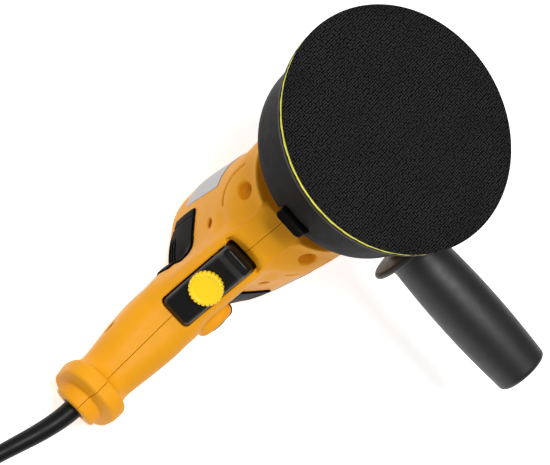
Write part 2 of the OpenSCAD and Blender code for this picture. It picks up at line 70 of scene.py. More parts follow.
HEAD_H = 200.0
NECK_Z = 142.0
SHAFT_X = -30.0
BARREL_R = 41.5
BULGE_X = -54.0
BULGE_R = 26.0
WALL = 3.0
THROAT = (-97.0, 76.5)
TRIGGER_L = 57.0
GRIP_START = (-104.0, 38.0)
GRIP_SLOPE = math.radians(8)
COLLAR_FRONT = -177.0
COLLAR_BACK = -188.0
COLLAR_Z = 32.5
EXIT_Z = 28.0
EXIT_TILT = math.radians(15)
SOCKET_Z = 119.5
LOCK_Z = 149.0
LOCK_ON = (-94.0, 43.0)
SCREWS = [(-53.5, 110.5, 17), (-71, 77, 11.5), (-143.5, 32.5, 12), (-30, 11.5, 33), (41, 130, 13)]
OPEN_SCREWS = SCREWS[2:]
DIMPLES = [
    ((-53.2, 28.2, 110), (-0.42, 0.74, 0.53), 5.3, 5.0),
    ((-65.5, 25.0, 71), (-0.62, 0.74, 0.25), 3.2, 4.5),
]
GROOVE = [(-59, 88.5), (-56, 89.5), (-52.5, 91), (-48.5, 94), (-45, 98), (-42, 103), (-40, 108)]
PAD_R = 75.0

# ---------------------------------------------------------------- materials

# Noise scales per metre: slow colour drift, uneven gloss, moulding waves and fine grain
DRIFT_SCALE = 28
SMEAR_SCALE = 140
WAVE_SCALE = 90
GRAIN_SCALE = 2600
COAT_ROUGHNESS = 0.12
HOOK_SCALE = 700
FOAM_CELL_SCALE = 1500


def new_material(name):
    material = bpy.data.materials.new(name)
    material.use_nodes = True
    nodes = material.node_tree.nodes
    return material, nodes, material.node_tree.links, nodes["Principled BSDF"]


def noise(nodes, links, coordinates, scale, detail=4.0, stretch=(1, 1, 1)):
    """Noise of 0 to 1 over the object's own coordinates, finer along an axis that is stretched."""
    mapping = nodes.new("ShaderNodeMapping")
    mapping.inputs["Scale"].default_value = stretch
    links.new(coordinates, mapping.inputs["Vector"])
    texture = nodes.new("ShaderNodeTexNoise")
    texture.inputs["Scale"].default_value = scale
    texture.inputs["Detail"].default_value = detail
    links.new(mapping.outputs["Vector"], texture.inputs["Vector"])
    return texture.outputs["Fac"]


def ramp(nodes, links, value, low, high, start=0.3, end=0.7):
    """Maps a 0 to 1 value between two colours or two greys."""
    node = nodes.new("ShaderNodeValToRGB")
    node.color_ramp.elements[0].position = start
    node.color_ramp.elements[1].position = end
    node.color_ramp.elements[0].color = low
    node.color_ramp.elements[1].color = high
    links.new(value, node.inputs["Fac"])
    return node.outputs["Color"]


def grey(v):
    return (v, v, v, 1)


def shade(colour, factor):
    """A colour made lighter or darker, with its alpha."""
    return tuple(min(1.0, c * factor) for c in colour) + (1,)


def bump(nodes, links, bsdf, heights):
    """Chains bumps of (height socket, strength, distance in metres) into the shader's normal."""
    normal = None
    for height, strength, distance in heights:
        node = nodes.new("ShaderNodeBump")
        node.inputs["Strength"].default_value = strength
        node.inputs["Distance"].default_value = distance
        links.new(height, node.inputs["Height"])
        if normal is not None:
            links.new(normal, node.inputs["Normal"])
        normal = node.outputs["Normal"]
    links.new(normal, bsdf.inputs["Normal"])


def plastic(name, colour, roughness, grain=0.25, tone=0.06, coat=0.0, shine=0.25, spread=0.05):
    """Moulded plastic or rubber: fine grain, slow colour drift and uneven gloss."""
    material, nodes, links, bsdf = new_material(name)
    where = nodes.new("ShaderNodeTexCoord").outputs["Object"]
    slow = noise(nodes, links, where, DRIFT_SCALE, 3)
    drift = ramp(nodes, links, slow, shade(colour, 1 - tone), shade(colour, 1 + tone))
    links.new(drift, bsdf.inputs["Base Color"])
    smear = noise(nodes, links, where, SMEAR_SCALE, 5)
    links.new(
        ramp(nodes, links, smear, grey(roughness - spread), grey(roughness + spread)),
        bsdf.inputs["Roughness"],
    )
    fine = noise(nodes, links, where, GRAIN_SCALE, 2)
    wavy = noise(nodes, links, where, WAVE_SCALE, 2)
    bump(nodes, links, bsdf, [(fine, grain, 0.0001), (wavy, 0.05, 0.0006)])
    bsdf.inputs["Coat Weight"].default_value = coat
    bsdf.inputs["Coat Roughness"].default_value = COAT_ROUGHNESS
    bsdf.inputs["Specular IOR Level"].default_value = shine
    return material


def metal(name, colour, roughness, stretch=(1, 1, 30), scale=240, strength=0.15):
    """Machined, cast or laminated metal with fine streaks across the stretched axis."""
    material, nodes, links, bsdf = new_material(name)
    where = nodes.new("ShaderNodeTexCoord").outputs["Object"]
    streaks = noise(nodes, links, where, scale, 5, stretch)
    drift = ramp(nodes, links, streaks, shade(colour, 0.86), shade(colour, 1.08))
    links.new(drift, bsdf.inputs["Base Color"])
    links.new(
        ramp(nodes, links, streaks, grey(roughness - 0.07), grey(roughness + 0.1)),
        bsdf.inputs["Roughness"],
    )
    bump(nodes, links, bsdf, [(streaks, strength, 0.00008)])
    bsdf.inputs["Metallic"].default_value = 1.0
    return material


def hook_cloth():
    """Black nylon hook face: rows of hook tips with painted highlight on a dark woven base."""
    material, nodes, links, bsdf = new_material("hook_cloth")
    where = nodes.new("ShaderNodeTexCoord").outputs["Object"]
    cells = nodes.new("ShaderNodeTexVoronoi")
    cells.voronoi_dimensions = "2D"
    cells.inputs["Scale"].default_value = HOOK_SCALE
    cells.inputs["Randomness"].default_value = 0.4
    links.new(where, cells.inputs["Vector"])
    # The paler hook tips are painted highlight: light catching the tips, put into the colour over the dark
    # base.
    pale, dark = (0.040, 0.040, 0.0405, 1), (0.0010, 0.0010, 0.0011, 1)
    tip_highlights = ramp(nodes, links, cells.outputs["Distance"], pale, dark, 0.05, 0.5)
    patches = noise(nodes, links, where, 55, 4)
    mix = nodes.new("ShaderNodeMix")
    mix.data_type = "RGBA"
    mix.blend_type = "MULTIPLY"
    mix.inputs["Factor"].default_value = 1.0
    links.new(tip_highlights, mix.inputs["A"])
    links.new(ramp(nodes, links, patches, grey(0.75), grey(1.1)), mix.inputs["B"])
    links.new(mix.outputs["Result"], bsdf.inputs["Base Color"])
    height = ramp(nodes, links, cells.outputs["Distance"], grey(1), grey(0), 0.05, 0.5)
    bump(nodes, links, bsdf, [(height, 0.6, 0.0004)])
    links.new(ramp(nodes, links, patches, grey(0.8), grey(0.95)), bsdf.inputs["Roughness"])
    bsdf.inputs["Specular IOR Level"].default_value = 0.08
    return material


def foam_material():
    """Open-cell yellow foam with a slow change of tint."""
    material, nodes, links, bsdf = new_material("yellow_foam")
    where = nodes.new("ShaderNodeTexCoord").outputs["Object"]
    cells = nodes.new("ShaderNodeTexVoronoi")
    cells.inputs["Scale"].default_value = FOAM_CELL_SCALE
    links.new(where, cells.inputs["Vector"])
    tint = noise(nodes, links, where, 160, 4)
    links.new(
        ramp(nodes, links, tint, (0.88, 0.82, 0.06, 1), (0.98, 0.94, 0.12, 1)),
        bsdf.inputs["Base Color"],
    )
    bump(nodes, links, bsdf, [(cells.outputs["Distance"], 0.5, 0.0004), (tint, 0.4, 0.0006)])
    links.new(ramp(nodes, links, tint, grey(0.75), grey(0.95)), bsdf.inputs["Roughness"])
    return material


MATERIALS = {
    "hook_nylon": hook_cloth(),
    "foam": foam_material(),
    "plate_rubber": plastic("plate_rubber", (0.012, 0.012, 0.012), 0.6),
    "shroud_plastic": plastic("shroud_plastic", (0.013, 0.013, 0.0135), 0.5, 0.35, shine=0.02),
    "orange_plastic": plastic("orange_plastic", (0.77, 0.325, 0.0095), 0.48, 0.3, 0.04, shine=0.12),
    "black_plastic": plastic("black_plastic", (0.003, 0.003, 0.0032), 0.4, 0.2, shine=0.01),
    "trigger_plastic": plastic("trigger_plastic", (0.003, 0.003, 0.0035), 0.34, 0.06, 0.05, 0.05, 0.3),
    "dial_plastic": plastic("dial_plastic", (0.92, 0.62, 0.012), 0.38, 0.15, 0.03, 0.1),
    "handle_plastic": plastic("handle_plastic", (0.006, 0.006, 0.0063), 0.5, 0.15, shine=0.5),
    "steel": metal("steel", (0.62, 0.62, 0.64), 0.28),
    "zinc_steel": metal("zinc_steel", (0.30, 0.29, 0.28), 0.45, (1, 1, 1), 900),
    "cast_aluminium": metal("cast_aluminium", (0.60, 0.61, 0.62), 0.5, (1, 1, 1), 1200, 0.5),
    "laminated_steel": metal("laminated_steel", (0.30, 0.30, 0.32), 0.42, (1, 1, 60), 60, 0.4),
    "copper": metal("copper", (0.72, 0.30, 0.13), 0.3, (1, 1, 40), 90, 0.5),
    "brass": metal("brass", (0.78, 0.56, 0.22), 0.3),
    "carbon": plastic("carbon", (0.02, 0.02, 0.022), 0.7),
    "capacitor_plastic": plastic("capacitor_plastic", (0.03, 0.12, 0.45), 0.3),
    "foil": metal("foil", (0.30, 0.30, 0.32), 0.36, (40, 1, 1), 220, 0.1),
    "cord_rubber": plastic("cord_rubber", (0.006, 0.006, 0.0065), 0.42, 0.12, 0.05, shine=0.14),
}

NODE_SLOT = {s["node"]: s["material_slot"] for s in frame["record"]["subparts"]}
NODE_BODY = {n: b for b, ns in frame["record"]["behaviour"]["bodies"].items() for n in ns}


def finish_piece(obj, node):
    """Gives a piece smooth shading, the material picked by the slot of the CAD node it replaces, and that
    node's body.
    """
    slot = NODE_SLOT[node]
    obj.data.materials.clear()
    obj.data.materials.append(MATERIALS[slot])
    obj.data.polygons.foreach_set("use_smooth", [True] * len(obj.data.polygons))
    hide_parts(node)
    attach(obj, NODE_BODY[node])
    return obj


# ---------------------------------------------------------------- mesh helpers


def mesh_object(name, vertices, faces):
    """An object from vertices in mm and faces as index lists."""
    data = bpy.data.meshes.new(name)
    data.from_pydata((np.asarray(vertices, float) * MM).tolist(), [], [list(f) for f in faces])
    data.validate()
    data.update()
    obj = bpy.data.objects.new(name, data)
    bpy.context.scene.collection.objects.link(obj)
    return obj


def apply_modifier(obj, kind, **settings):
    """Adds a modifier and puts its result in place of the object's mesh."""
    modifier = obj.modifiers.new(kind.lower(), kind)
    for key, value in settings.items():
        setattr(modifier, key, value)
    graph = bpy.context.evaluated_depsgraph_get()
    data = bpy.data.meshes.new_from_object(obj.evaluated_get(graph))
    obj.modifiers.clear()
    obj.data = data
    return obj


def lathe(name, profile, sides=128, wobble=None, place=None):
    """A closed solid turned about Z from (radius, height) points; radius 0 closes it on the axis."""
    angles = np.linspace(0, 2 * math.pi, sides, endpoint=False)
    vertices = []
    rings = []
    for r, h in profile:
        if r == 0:
            rings.append([len(vertices)])
            vertices.append((0, 0, h))
            continue
        rings.append(list(range(len(vertices), len(vertices) + sides)))
        for a in angles:
            q = r + (wobble(a, r, h) if wobble else 0)
            vertices.append((q * math.cos(a), q * math.sin(a), h))
    faces = []
    closed = profile[0][0] != 0
    pairs = list(zip(rings, rings[1:] + rings[:1])) if closed else list(zip(rings, rings[1:]))
    for low, high in pairs:
        for k in range(sides):
            j = (k + 1) % sides
            if len(low) == 1:
                faces.append((low[0], high[j], high[k]))
            elif len(high) == 1:
                faces.append((low[k], low[j], high[0]))
            else:
                faces.append((low[k], low[j], high[j], high[k]))
    obj = mesh_object(name, vertices, faces)
    fix_normals(obj)
    if place is not None:
        obj.data.transform(place)
    return obj


def fix_normals(obj):
    """Turns every face of a closed mesh outwards."""
    mesh = bmesh.new()
    mesh.from_mesh(obj.data)
    bmesh.ops.recalc_face_normals(mesh, faces=mesh.faces)
    mesh.to_mesh(obj.data)
    mesh.free()


def rounded_profile(points, radius, steps=4):
    """Rounds the corners of a closed (radius, height) outline; a corner on the axis stays sharp."""
    result = []
    count = len(points)
    for i, corner in enumerate(points):
        p = Vector(corner[:2])
        r = corner[2] if len(corner) > 2 else radius
        before = Vector(points[i - 1][:2]) - p
        after = Vector(points[(i + 1) % count][:2]) - p
        r = min(r, before.length * 0.45, after.length * 0.45)
        if p.x == 0 or r <= 0:
            result.append((p.x, p.y))
            continue
        a = p + before.normalized() * r
        b = p + after.normalized() * r
        for k in range(steps + 1):
            t = k / steps
            q = a * (1 - t) ** 2 + p * 2 * t * (1 - t) + b * t**2
            result.append((max(q.x, 0.0), q.y))
    return result


def join(name, objects):
    """Merges several mesh objects into the first."""
    mesh = bmesh.new()
    for o in objects:
        mesh.from_mesh(o.data)
    data = bpy.data.meshes.new(name)
    mesh.to_mesh(data)
    mesh.free()
    for o in objects:
        bpy.data.objects.remove(o)
    obj = bpy.data.objects.new(name, data)
    bpy.context.scene.collection.objects.link(obj)
    return obj


# ---------------------------------------------------------------- solids from distance fields


def smooth_min(a, b, k):
    """The space inside either field, with the corner between them filled over about k."""
    h = np.clip(0.5 + 0.5 * (b - a) / k, 0, 1)
    return b + (a - b) * h - k * h * (1 - h)


def smooth_max(a, b, k):
    """The space inside both fields, with the edge between them worn over about k."""
    return -smooth_min(-a, -b, k)


def both(a, b, r):
    """The space inside two fields, with the edge between them rounded to radius r."""
    return np.minimum(np.maximum(a, b), -r) + np.hypot(np.maximum(a + r, 0), np.maximum(b + r, 0))


def between(v, low, high):
    """Field of the slab between two values."""
    return np.abs(v - (low + high) / 2) - (high - low) / 2


def smoothstep(v):
    """An eased step from 0 to 1 while v goes from 0 to 1."""
    v = np.clip(v, 0, 1)
    return v * v * (3 - 2 * v)


def convex(u, v, corners):
    """Field of a convex outline given counter-clockwise."""
    sides = zip(corners, corners[1:] + corners[:1])
    field = None
    for (ax, ay), (bx, by) in sides:
        length = math.hypot(bx - ax, by - ay)
        side = ((u - ax) * (by - ay) - (v - ay) * (bx - ax)) / length
        field = side if field is None else np.maximum(field, side)
    return field


CELL_CORNERS = [(i, j, k) for i in (0, 1) for j in (0, 1) for k in (0, 1)]
CELL_EDGES = [
    (a, b) for a in CELL_CORNERS for b in CELL_CORNERS
    if sum(b) - sum(a) == 1 and sum(abs(p - q) for p, q in zip(a, b)) == 1
]


def surface(name, field, low, high, step, relax=3):
    """A closed mesh of the zero level of field(x, y, z) inside a box, all in mm."""
    axes = [np.arange(l, h + step, step) for l, h in zip(low, high)]
    x, y, z = np.meshgrid(*axes, indexing="ij", sparse=True)
    values = np.ascontiguousarray(np.broadcast_to(field(x, y, z), [len(a) for a in axes]))
    inside = values < 0
    cells = [n - 1 for n in inside.shape]
    count = np.zeros(cells, np.int8)
    for i, j, k in CELL_CORNERS:
        count += inside[i:cells[0] + i, j:cells[1] + j, k:cells[2] + k]
    mixed = (count > 0) & (count < 8)
    index = np.full(cells, -1, np.int64)
    index[mixed] = np.arange(mixed.sum())
    cell = np.argwhere(mixed)
    total = np.zeros((len(cell), 3))
    crossings = np.zeros(len(cell))
    for a, b in CELL_EDGES:
        va = values[tuple((cell + a).T)]
        vb = values[tuple((cell + b).T)]
        crosses = (va < 0) != (vb < 0)
        share = va[crosses] / (va[crosses] - vb[crosses])
        total[crosses] += np.array(a) + share[:, None] * (np.array(b) - np.array(a))
        crossings[crosses] += 1
    points = np.array(low) + (cell + total / crossings[:, None]) * step
    faces = np.concatenate([crossing_faces(inside, index, axis) for axis in range(3)])
    points = settle(points, faces, field, step, relax)
    return mesh_object(name, points, faces)


def crossing_faces(inside, index, axis):
    """One quad round each grid edge along an axis that crosses the surface."""
    first = np.moveaxis(inside, axis, 0)
    cells = np.moveaxis(index, axis, 0)
    a = first[:-1, 1:-1, 1:-1]
    b = first[1:, 1:-1, 1:-1]
    where = np.argwhere(a != b)
    i, j, k = where.T
    quad = np.stack([cells[i, j, k], cells[i, j + 1, k], cells[i, j + 1, k + 1], cells[i, j, k + 1]], 1)
    flip = ~a[i, j, k]
    if axis == 1:
        flip = ~flip
    quad[flip] = quad[flip][:, ::-1]
    return quad


def settle(points, faces, field, step, relax):
    """Evens out the mesh and draws its points onto the field's zero level."""
    edges = np.concatenate([faces[:, [0, 1]], faces[:, [1, 2]], faces[:, [2, 3]], faces[:, [3, 0]]])
    degree = sum(np.bincount(edges[:, end], minlength=len(points)) for end in (0, 1))
    for turn in range(relax + 1):
        if turn:
            total = np.zeros_like(points)
            for k in range(3):
                total[:, k] = np.bincount(edges[:, 0], points[edges[:, 1], k], len(points))
                total[:, k] += np.bincount(edges[:, 1], points[edges[:, 0], k], len(points))
            points = points + 0.6 * (total / degree[:, None] - points)
        points = draw_in(points, field, step)
    return draw_in(points, field, step)


def draw_in(points, field, step):
    """One Newton step of each point towards the field's zero level."""
    h = 0.2 * step
    x, y, z = points.T
    value = field(x, y, z)
    slope = np.stack([
        field(x + h, y, z) - field(x - h, y, z),
        field(x, y + h, z) - field(x, y - h, z),
        field(x, y, z + h) - field(x, y, z - h),
    ], 1) / (2 * h)
    size = np.maximum((slope**2).sum(1), 0.05)
    move = -(value / size)[:, None] * slope
    length = np.linalg.norm(move, axis=1, keepdims=True)
    return points + move * np.minimum(1, 0.6 * step / np.maximum(length, 1e-9))


def keep_side(obj, side, gap, name):
    """The part of a closed mesh beyond y = gap on one side, closed again along the cut."""
    mesh = bmesh.new()
    mesh.from_mesh(obj.data)
    cut = bmesh.ops.bisect_plane(
        mesh, geom=mesh.verts[:] + mesh.edges[:] + mesh.faces[:],
        plane_co=(0, side * gap * MM, 0), plane_no=(0, -side, 0), clear_outer=True,
    )
    edges = [e for e in cut["geom_cut"] if isinstance(e, bmesh.types.BMEdge)]
    bmesh.ops.triangle_fill(mesh, use_beauty=True, edges=edges, normal=(0, -side, 0))
    data = bpy.data.meshes.new(name)
    mesh.to_mesh(data)
    mesh.free()
    result = bpy.data.objects.new(name, data)
    bpy.context.scene.collection.objects.link(result)
    return result


# ---------------------------------------------------------------- housing

# Head: the barrel's shoulder starts at SHOULDER_Z and shifts and flares over SHOULDER_H
SHOULDER_Z = 92
SHOULDER_H = 29
SHOULDER_SHIFT = 14
SHOULDER_REACH = 28
SHOULDER_FLARE = 2.5
BARREL_TOP = 122
BACK_TAPER_H = 45
BACK_TAPER = 3.2
BULGE_TOP = 84
BULGE_BLEND = 7
NECK_R = 46
NECK_LOW = 100

# Ridge between trigger and shroud, and the stretch of the shoulder cut back to it
RIDGE_TOP = (-53.6, 122)
RIDGE_NORMAL = (-0.763, 0.647)
RIDGE = [(-35, 122), (-54.6, 122), (-72.4, 99.9), (-79, 88), (-60, 80), (-35, 92)]
RIDGE_HALF_W = 14.5
SHAVE_Z = (97, 122.6)
SHAVE_HALF_W = 15.5

# Throat block behind the trigger, grip, collar and bosses
THROAT_DEPTH = 44
THROAT_HALF_W = 18
THROAT_HALF_L = 36
GRIP_HALF_H = 17.5
GRIP_HALF_W = 18
GRIP_SPAN = (-14, 76)
COLLAR_HALF_H = 22
COLLAR_HALF_W = 21
EXIT_BOSS_R = 15
LOCK_ON_BOSS_R = 13

# Scoop above the trigger and the curved groove in the side
SCOOP_HALF_W = 13.6
SCOOP_FROM = 26.5
SCOOP_CENTRE = 5.6
SCOOP_R = 42
SCOOP_DEPTH = 5.0
SCOOP_RISE = (33, 9)
GROOVE_HALF_W = 0.8
GROOVE_DEPTH = 1.3
GROOVE_OFFSET = 25

# Openings in the wall
TRIGGER_OPENING = (29.2, 11.6)
SCREW_HOLE_R = 4.0
VENT_ZONE = [(-95, 8), (-62, 8), (-53, 15), (-53, 47), (-95, 47)]
VENT_SEAT = 1.3
SLOTS = 3
SLOT_Z = 11.8
SLOT_PITCH = 4
SLOT_HALF_H = 0.8
SLOT_X = (-90, -64)
SLOT_OFFSET = 10
EXIT_HOLE_R = 7.6
SOCKET_HOLE_R = 13.2
SOCKET_OFFSET = 20
LOCK_ON_HOLE_R = 6.8
GEAR_BORE_R = 44
GEAR_BORE_Z = (117, 150)
COLUMN_R = 6.2
COLUMN_WALL = 5


def throat_coordinates(x, z):
    """Distance up along the trigger and distance out of the throat."""
    s = math.sqrt(0.5)
    return s * ((x - THROAT[0]) + (z - THROAT[1])), s * ((z - THROAT[1]) - (x - THROAT[0]))


def barrel_field(x, y, z):
    """The motor barrel, wider at its shoulder and a little narrower at its flat back."""
    rise = smoothstep((z - SHOULDER_Z) / SHOULDER_H)
    left = SHAFT_X + SHOULDER_SHIFT * rise
    right = SHAFT_X + SHOULDER_REACH * rise
    taper = np.clip((BACK_TAPER_H - z) / BACK_TAPER_H, 0, 1) ** 2
    radius = BARREL_R + SHOULDER_FLARE * rise - BACK_TAPER * taper
    off_axis = x - np.clip(x, left, right)
    return both(np.hypot(off_axis, y) - radius, between(z, 0, BARREL_TOP), 1.6)


def head_field(x, y, z):
    """Barrel, the bulge behind it and the neck that carries the shroud, all above the floor."""
    field = barrel_field(x, y, z)
    bulge = both(np.hypot(x - BULGE_X, y) - BULGE_R, between(z, 0, BULGE_TOP), BULGE_BLEND)
    field = both(smooth_min(field, bulge, BULGE_BLEND), -z, 1.2)
    neck = both(np.hypot(x, y) - NECK_R, between(z, NECK_LOW, NECK_Z), 0.8)
    return smooth_min(field, neck, 1.5)


def ridge_slope(x, z):
    """Height above the sloping face between trigger and shroud."""
    return RIDGE_NORMAL[0] * (x - RIDGE_TOP[0]) + RIDGE_NORMAL[1] * (z - RIDGE_TOP[1])


def ridge_field(x, y, z):
    """The block between trigger and shroud."""
    return both(convex(x, z, RIDGE), np.abs(y) - RIDGE_HALF_W, 0.9)


def throat_field(x, y, z):
    """The block that the trigger sits in."""
    up, out = throat_coordinates(x, z)
    section = both(between(out, -THROAT_DEPTH, 0), np.abs(y) - THROAT_HALF_W, 11)
    return both(section, np.abs(up) - THROAT_HALF_L, 5)


def grip_field(x, y, z):
    """The grip, fuller near the trigger and slimmer towards the rear, with the collar on its end."""
    run = (GRIP_START[0] - x) * math.cos(GRIP_SLOPE) + (GRIP_START[1] - z) * math.sin(GRIP_SLOPE)
    height = (z - GRIP_START[1]) * math.cos(GRIP_SLOPE) + (GRIP_START[0] - x) * math.sin(GRIP_SLOPE)
    belly = 2.4 * np.exp(-(((run - 18) / 28) ** 2))
    waist = 0.9 * smoothstep((run - 40) / 30)
    swell = belly - waist
    section = both(np.abs(height) - GRIP_HALF_H - swell, np.abs(y) - GRIP_HALF_W - 1.3 * swell, 14.5)
    bar = both(section, between(run, *GRIP_SPAN), 1)
    section = both(np.abs(z - COLLAR_Z) - COLLAR_HALF_H, np.abs(y) - COLLAR_HALF_W, 16)
    collar = both(section, between(x, COLLAR_BACK, COLLAR_FRONT), 2.0)
    return smooth_min(bar, collar, 12)


def exit_coordinates(x, y, z):
    """Distance out along the cord exit and distance from its axis."""
    out = (COLLAR_BACK - x) * math.cos(EXIT_TILT) + (EXIT_Z - z) * math.sin(EXIT_TILT)
    height = (z - EXIT_Z) * math.cos(EXIT_TILT) + (COLLAR_BACK - x) * math.sin(EXIT_TILT)
    return out, np.hypot(height, y)


def housing_outside(x, y, z):
    """The outer form of the clamshell, without its openings."""
    above = np.maximum(-ridge_slope(x, z), between(z, *SHAVE_Z))
    shaved = both(above, np.abs(y) - SHAVE_HALF_W, 0.8)
    field = smooth_max(head_field(x, y, z), -shaved, 0.6)
    field = smooth_min(field, ridge_field(x, y, z), 0.5)
    field = smooth_min(field, throat_field(x, y, z), 6)
    field = smooth_min(field, grip_field(x, y, z), 8)
    out, away = exit_coordinates(x, y, z)
    field = smooth_min(field, both(away - EXIT_BOSS_R, between(out, -6, 6.5), 2), 1.2)
    from_button = np.hypot(x - LOCK_ON[0], z - LOCK_ON[1])
    field = smooth_min(field, both(from_button - LOCK_ON_BOSS_R, between(y, -26, -8), 3.5), 3)
    hollows = np.minimum(scoop_field(x, y, z), dimples_field(x, y, z))
    return smooth_max(field, -np.minimum(hollows, groove_field(x, y, z)), 1.2)


def scoop_field(x, y, z):
    """The hollow above the trigger."""
    up, out = throat_coordinates(x, z)
    from_centre = np.hypot(up + SCOOP_CENTRE, y)
    rise = smoothstep((from_centre - SCOOP_RISE[0]) / SCOOP_RISE[1])
    sides = np.maximum(np.abs(y) - SCOOP_HALF_W, SCOOP_FROM - up)
    field = both(sides, (-SCOOP_DEPTH * (1 - rise) - out) * 0.75, 1.6)
    return np.maximum(field, from_centre - SCOOP_R)


def dimples_field(x, y, z):
    """The tilted round recesses over the upper screws, the same on both sides."""
    field = None
    for centre, heading, r, depth in DIMPLES:
        dx, dy, dz = x - centre[0], np.abs(y) - centre[1], z - centre[2]
        deep = dx * heading[0] + dy * heading[1] + dz * heading[2]
        away = np.sqrt(np.maximum(dx * dx + dy * dy + dz * dz - deep * deep, 0))
        dimple = both(away - r - 0.12 * deep, -depth - deep, 1.2)
        field = dimple if field is None else np.minimum(field, dimple)
    return field


def groove_field(x, y, z):
    """The curved groove beside the recesses, cut to an even depth below the barrel's surface."""
    path = None
    for (ax, az), (bx, bz) in zip(GROOVE, GROOVE[1:]):
        ex, ez = bx - ax, bz - az
        t = np.clip(((x - ax) * ex + (z - az) * ez) / (ex * ex + ez * ez), 0, 1)
        near = np.hypot(x - ax - t * ex, z - az - t * ez)
        path = near if path is None else np.minimum(path, near)
    groove = np.maximum(path - GROOVE_HALF_W, GROOVE_OFFSET - np.abs(y))
    return np.maximum(groove, -(barrel_field(x, y, z) + GROOVE_DEPTH))


def screw_field(x, y, z):
    """The straight holes over the screws whose heads show."""
    field = None
    for px, pz, depth in OPEN_SCREWS:
        hole = both(np.hypot(x - px, z - pz) - SCREW_HOLE_R, depth - np.abs(y), 0.3)
        field = hole if field is None else np.minimum(field, hole)
    return field


def slots_field(x, y, z):
    """Level slots through the vent covers and the wall behind them."""
    field = None
    for i in range(SLOTS):
        height = np.abs(z - SLOT_Z - SLOT_PITCH * i) - SLOT_HALF_H
        slot = both(height, between(x, *SLOT_X), 0.8)
        field = slot if field is None else np.minimum(field, slot)
    return np.maximum(field, SLOT_OFFSET - np.abs(y))


def openings_field(x, y, z):
    """The holes with plain edges: cord exit, handle sockets and lock-on button."""
    out, away = exit_coordinates(x, y, z)
    cord_hole = np.maximum(away - EXIT_HOLE_R, between(out, -14, 12))
    sockets = np.maximum(np.hypot(x, z - SOCKET_Z) - SOCKET_HOLE_R, SOCKET_OFFSET - np.abs(y))
    from_button = np.hypot(x - LOCK_ON[0], z - LOCK_ON[1])
    button_hole = np.maximum(from_button - LOCK_ON_HOLE_R, between(y, -30, -10))
    return np.minimum(np.minimum(cord_hole, sockets), button_hole)


def cavity_field(x, y, z, outside):
    """The hollow inside the wall with the gear case's bore, less the screw columns."""
    bore = np.maximum(np.hypot(x, y) - GEAR_BORE_R, between(z, *GEAR_BORE_Z))
    field = np.minimum(outside + WALL, bore)
    for px, pz, depth in SCREWS:
        column = np.maximum(np.hypot(x - px, z - pz) - COLUMN_R, depth - COLUMN_WALL - np.abs(y))
        field = np.maximum(field, -column)
    return field


def housing_field(x, y, z):
    """The clamshell's wall."""
    outside = housing_outside(x, y, z)
    up, out = throat_coordinates(x, z)
    opening = both(np.abs(up) - TRIGGER_OPENING[0], np.abs(y) - TRIGGER_OPENING[1], 2.5)
    opening = both(opening, between(out, -22, 9), 0.5)
    field = smooth_max(outside, -opening, 0.8)
    field = smooth_max(field, -screw_field(x, y, z), 1.6)
    field = np.maximum(field, -np.maximum(-outside - VENT_SEAT, convex(x, z, VENT_ZONE)))
    field = np.maximum(field, -slots_field(x, y, z))
    field = np.maximum(field, -openings_field(x, y, z))
    return np.maximum(field, -cavity_field(x, y, z, outside))


def make_housing():
    """Both shells of the casing, cut from one solid at the seam."""
    step = 1.0
    whole = surface("housing", housing_field, (-203, -52, -4), (54, 52, 147), step)
    for side, node in ((1, "housing_right"), (-1, "housing_left")):
        half = keep_side(whole, side, 0.18, node + "_shell")
        finish_piece(half, node)
    bpy.data.objects.remove(whole)


# ---------------------------------------------------------------- placing


def place(x_axis, y_axis, z_axis, origin):
    """A matrix from three axes and an origin in mm."""
    turn = Matrix((x_axis, y_axis, z_axis)).transposed().to_4x4()
    return Matrix.Translation(Vector(origin) * MM) @ turn


def along(direction, origin):
    """A matrix that puts the Z axis of a lathed piece along a direction."""
    turn = Vector(direction).normalized().to_track_quat("Z", "X").to_matrix().to_4x4()
    return Matrix.Translation(Vector(origin) * MM) @ turn


HANDLE_SEAT_Y = -57.3
ROOT_HALF = math.sqrt(0.5)
AT_THROAT = place(
    (ROOT_HALF, 0, ROOT_HALF), (0, 1, 0), (-ROOT_HALF, 0, ROOT_HALF), (THROAT[0], 0, THROAT[1])
)
AT_HANDLE = along((0, -1, 0), (0, HANDLE_SEAT_Y, SOCKET_Z))

# ---------------------------------------------------------------- pad, plate and shroud

HOOK_WAVES = 4.4  # of the wave that the hooks follow, in radians per mm
HOOK_H = 0.8
HOOK_JITTER = 0.3
HOOK_FLOOR = HEAD_H - 1.5
HOOK_BACK = HEAD_H - 1.95


def make_hook_pad():
    """A disc of short staggered hooks on a woven base, from a square grid bent into a circle."""
    cells = 330
    edge = PAD_R - 0.6
    rng = np.random.default_rng(7)
    line = np.linspace(-1, 1, cells + 1)
    u, v = np.meshgrid(line, line, indexing="ij")
    x = u * np.sqrt(1 - v * v / 2) * edge
    y = v * np.sqrt(1 - u * u / 2) * edge
    rim = np.clip((edge - np.hypot(x, y)) / 1.2, 0, 1)
    hooks = 0.5 + 0.5 * np.sin(x * HOOK_WAVES) * np.sin(y * HOOK_WAVES)
    lift = hooks * HOOK_H + rng.random(x.shape) * HOOK_JITTER
    z = HOOK_FLOOR + (lift + 0.1) * np.sqrt(rim)
    top = np.stack([x, y, z], 2).reshape(-1, 3)
    base = top.copy()
    base[:, 2] = HOOK_BACK
    n = cells + 1
    index = np.arange(n * n).reshape(n, n)
    quads = np.stack([index[:-1, :-1], index[1:, :-1], index[1:, 1:], index[:-1, 1:]], 2).reshape(-1, 4)
    border = np.concatenate([index[:-1, 0], index[-1, :-1], index[:0:-1, -1], index[0, :0:-1]])
    after = np.roll(border, -1)
    size = n * n
    walls = np.stack([border, border + size, after + size, after], 1)
    faces = np.concatenate([quads, quads[:, ::-1] + size, walls])
    obj = mesh_object("hook_face", np.concatenate([top, base]), faces)
    fix_normals(obj)
    finish_piece(obj, "hook_pad")


